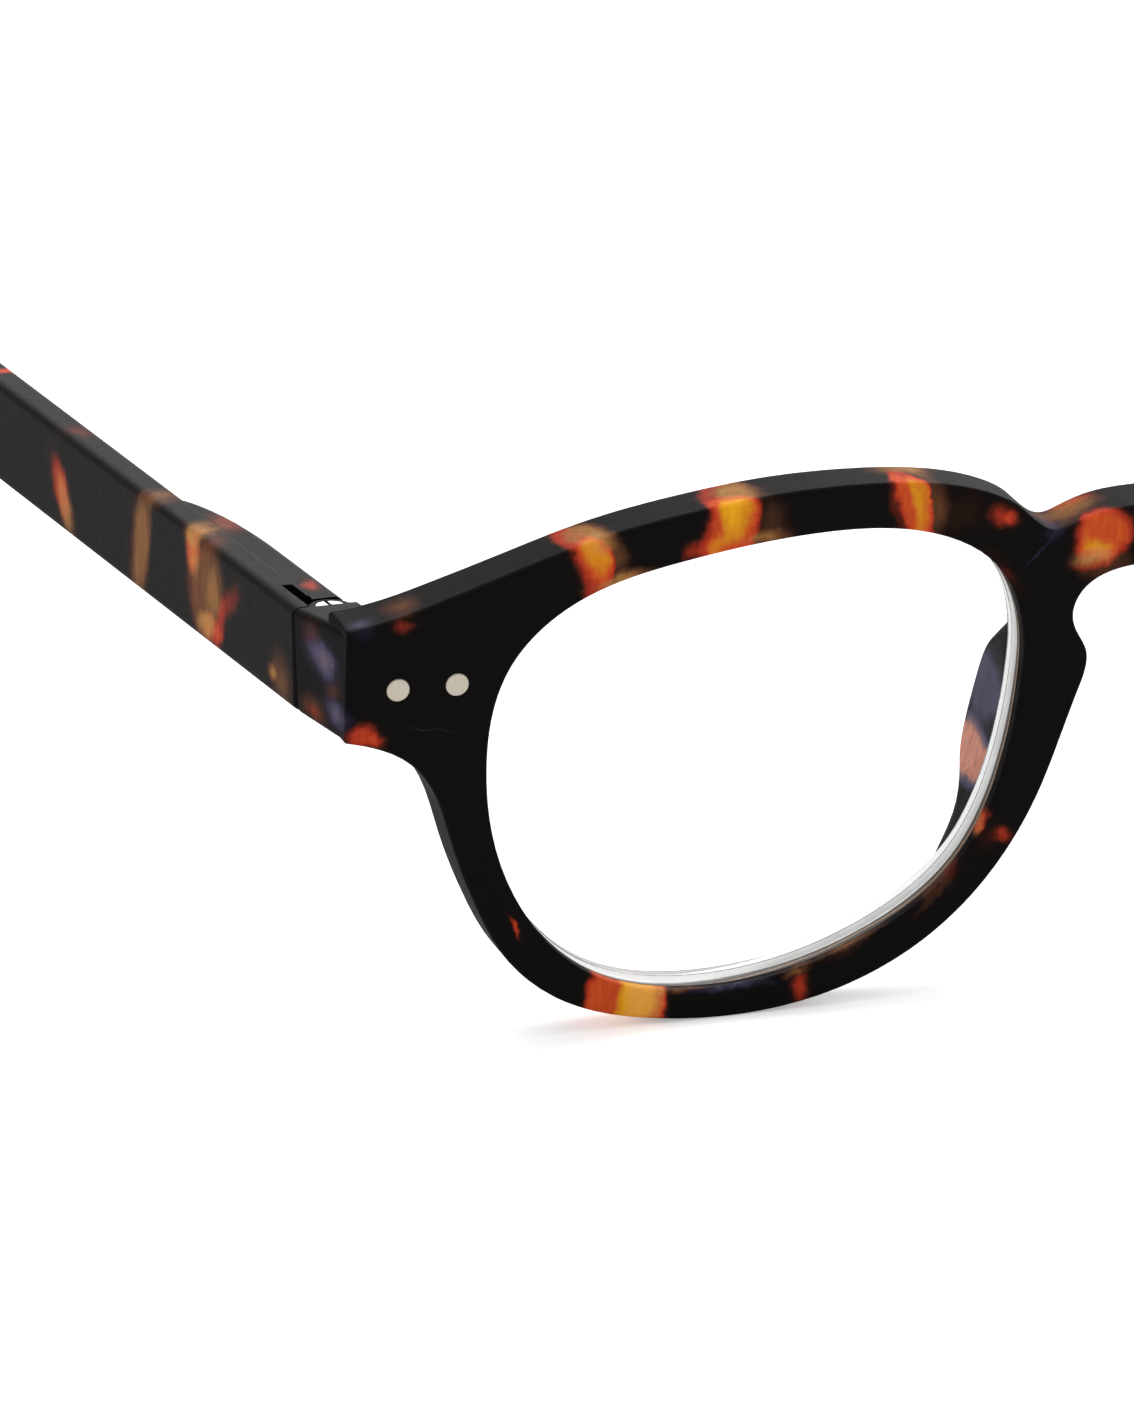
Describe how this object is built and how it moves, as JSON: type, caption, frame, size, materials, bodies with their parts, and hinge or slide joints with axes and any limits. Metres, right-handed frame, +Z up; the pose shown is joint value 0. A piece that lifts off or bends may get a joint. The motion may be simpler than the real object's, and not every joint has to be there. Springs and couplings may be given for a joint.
{
  "type": "folding reading glasses",
  "caption": "Reading glasses with a rounded tortoiseshell front, keyhole bridge, moulded nose pads, rivet studs and sprung temples that fold flat behind the lenses",
  "frame": {"origin": "On the ground, at the centre of the overall bounding box, with the temples open and the lower rims and temple tips resting on the ground", "axes": "+Z up, +Y from the front towards the temple tips, +X towards the wearer's left"},
  "size_m": [0.1422, 0.148, 0.0465],
  "materials": {
    "front": "soft-touch tortoiseshell",
    "temple": "soft-touch tortoiseshell",
    "lens": "polished, frosted edge",
    "rivet": "satin",
    "screw": "bright",
    "insert": "turned",
    "sleeve": "ground",
    "tongue": "tumbled",
    "spring": "drawn wire",
    "collar": "turned",
    "seat": "stamped",
    "spring_box": "satin"
  },
  "bodies": {
    "front": {"front_frame": "front", "lens_right": "lens", "lens_left": "lens", "rivet_outer_right": "rivet", "rivet_outer_left": "rivet", "rivet_inner_right": "rivet", "rivet_inner_left": "rivet", "thread_insert_right": "insert", "thread_insert_left": "insert"},
    "screw_right": {"hinge_screw_right": "screw"},
    "sleeve_right": {"pivot_sleeve_right": "sleeve"},
    "tongue_right": {"hinge_tongue_right": "tongue", "flex_spring_right": "spring", "spring_collar_right": "collar"},
    "temple_right": {"temple_right": "temple", "spring_box_right": "spring_box", "spring_seat_right": "seat"},
    "screw_left": {"hinge_screw_left": "screw"},
    "sleeve_left": {"pivot_sleeve_left": "sleeve"},
    "tongue_left": {"hinge_tongue_left": "tongue", "flex_spring_left": "spring", "spring_collar_left": "collar"},
    "temple_left": {"temple_left": "temple", "spring_box_left": "spring_box", "spring_seat_left": "seat"}
  },
  "joints": [
    {"name": "screw_turn_right", "type": "hinge", "parent": "front", "child": "screw_right", "pos_m": [-0.0675, -0.06089, 0.03231], "axis": [0, -0.0529, -0.9986], "continuous": true},
    {"name": "fold_right", "type": "hinge", "parent": "front", "child": "sleeve_right", "pos_m": [-0.0675, -0.06089, 0.03231], "axis": [0, -0.0529, -0.9986], "range_deg": [0, 81]},
    {"name": "flex_right", "type": "hinge", "parent": "sleeve_right", "child": "tongue_right", "pos_m": [-0.0675, -0.06089, 0.03231], "axis": [0, -0.0529, -0.9986], "range_deg": [-6, 0], "stiffness_Nm_per_rad": 2},
    {"name": "slide_right", "type": "slide", "parent": "tongue_right", "child": "temple_right", "axis": [0, 0.9986, -0.0529], "range_m": [0, 0.0004], "deforming": ["flex_spring_right"]},
    {"name": "screw_turn_left", "type": "hinge", "parent": "front", "child": "screw_left", "pos_m": [0.0675, -0.06089, 0.03231], "axis": [0, 0.0529, 0.9986], "continuous": true},
    {"name": "fold_left", "type": "hinge", "parent": "front", "child": "sleeve_left", "pos_m": [0.0675, -0.06089, 0.03231], "axis": [0, 0.0529, 0.9986], "range_deg": [0, 91.5]},
    {"name": "flex_left", "type": "hinge", "parent": "sleeve_left", "child": "tongue_left", "pos_m": [0.0675, -0.06089, 0.03231], "axis": [0, 0.0529, 0.9986], "range_deg": [-6, 0], "stiffness_Nm_per_rad": 2},
    {"name": "slide_left", "type": "slide", "parent": "tongue_left", "child": "temple_left", "axis": [0, 0.9986, -0.0529], "range_m": [0, 0.0004], "deforming": ["flex_spring_left"]}
  ],
  "couplings": [
    {"joint": "slide_right", "follows": "flex_right", "m_per_rad": -0.0035},
    {"joint": "slide_left", "follows": "flex_left", "m_per_rad": -0.0035}
  ]
}
